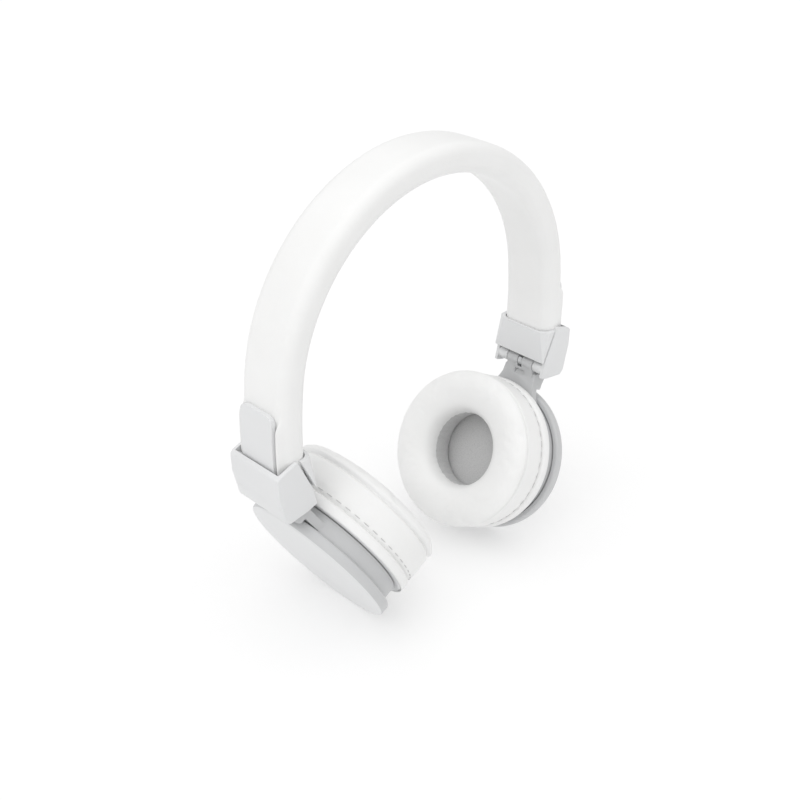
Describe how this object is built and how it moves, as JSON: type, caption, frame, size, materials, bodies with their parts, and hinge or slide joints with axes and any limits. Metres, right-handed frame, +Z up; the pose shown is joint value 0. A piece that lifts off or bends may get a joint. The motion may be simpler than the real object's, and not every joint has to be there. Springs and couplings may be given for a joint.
{
  "type": "folding wireless headphones",
  "caption": "Folding wireless headphones: a padded arched band with sliding adjusters, fold hinges and round cushioned ear cups.",
  "frame": {"origin": "middle of the footprint on the surface the two cups stand on, below the top of the band", "axes": "+Z up through the top of the band, X across the head with +X at the wearer's left ear, +Y towards the back of the head"},
  "size_m": [0.169, 0.0698, 0.1906],
  "materials": {
    "shell": "satin light grey moulded plastic",
    "housing_shell": "satin grey moulded plastic",
    "leatherette": "soft white grained leatherette",
    "foam": "open cell polyurethane foam",
    "steel": "brushed",
    "inner_plastic": "matt black moulded plastic",
    "lead_jacket": "matt",
    "copper_wire": "enamelled copper wire",
    "film": "thin clear amber film",
    "screen_cloth": "fine grey woven acoustic cloth",
    "board": "green solder mask",
    "battery_foil": "silver laminate pouch",
    "light_pipe": "clear diffusing plastic"
  },
  "bodies": {
    "band": {"band_cover": "leatherette", "band_foam": "foam", "band_spring_core": "steel", "band_speaker_lead": "lead_jacket", "left_slider_guide": "inner_plastic", "left_end_tongue": "shell", "left_end_cuff": "shell", "right_slider_guide": "inner_plastic", "right_end_tongue": "shell", "right_end_cuff": "shell"},
    "left_slider": {"left_slider_strip": "steel", "left_fold_bracket": "shell", "left_fold_pin": "steel", "left_friction_washer": "steel"},
    "left_cup": {"left_outer_cap": "shell", "left_cup_housing": "housing_shell", "left_baffle_plate": "inner_plastic", "left_baffle_screw_1": "steel", "left_baffle_screw_2": "steel", "left_baffle_screw_3": "steel", "left_driver_frame": "inner_plastic", "left_driver_magnet": "steel", "left_voice_coil": "copper_wire", "left_driver_diaphragm": "film", "left_cushion_ring": "shell", "left_speaker_screen": "screen_cloth", "left_ear_cushion": "leatherette", "battery": "battery_foil"},
    "right_slider": {"right_slider_strip": "steel", "right_fold_bracket": "shell", "right_fold_pin": "steel", "right_friction_washer": "steel"},
    "right_cup": {"right_outer_cap": "shell", "right_cup_housing": "housing_shell", "right_baffle_plate": "inner_plastic", "right_baffle_screw_1": "steel", "right_baffle_screw_2": "steel", "right_baffle_screw_3": "steel", "right_driver_frame": "inner_plastic", "right_driver_magnet": "steel", "right_voice_coil": "copper_wire", "right_driver_diaphragm": "film", "right_cushion_ring": "shell", "right_speaker_screen": "screen_cloth", "right_ear_cushion": "leatherette", "circuit_board": "board", "charging_socket": "steel", "audio_socket": "inner_plastic", "status_light": "light_pipe"},
    "volume_down_button": {"volume_down_button": "shell"},
    "power_button": {"power_button": "shell"},
    "volume_up_button": {"volume_up_button": "shell"}
  },
  "joints": [
    {"name": "left_slide", "type": "slide", "parent": "band", "child": "left_slider", "axis": [-0.0014, 0, -1], "range_m": [0, 0.022]},
    {"name": "left_fold", "type": "hinge", "parent": "left_slider", "child": "left_cup", "pos_m": [0.06982, 0, 0.07317], "axis": [0, 1, 0], "range_deg": [-29, 11]},
    {"name": "right_slide", "type": "slide", "parent": "band", "child": "right_slider", "axis": [0.0014, 0, -1], "range_m": [0, 0.022]},
    {"name": "right_fold", "type": "hinge", "parent": "right_slider", "child": "right_cup", "pos_m": [-0.06982, 0, 0.07317], "axis": [0, -1, 0], "range_deg": [-29, 11]},
    {"name": "volume_down_press", "type": "slide", "parent": "right_cup", "child": "volume_down_button", "axis": [-0.3566, -0.6819, 0.6386], "range_m": [0, 0.0005], "stiffness_N_per_m": 900},
    {"name": "power_press", "type": "slide", "parent": "right_cup", "child": "power_button", "axis": [-0.2438, -0.866, 0.4365], "range_m": [0, 0.0005], "stiffness_N_per_m": 900},
    {"name": "volume_up_press", "type": "slide", "parent": "right_cup", "child": "volume_up_button", "axis": [-0.1096, -0.9744, 0.1963], "range_m": [0, 0.0005], "stiffness_N_per_m": 900}
  ]
}
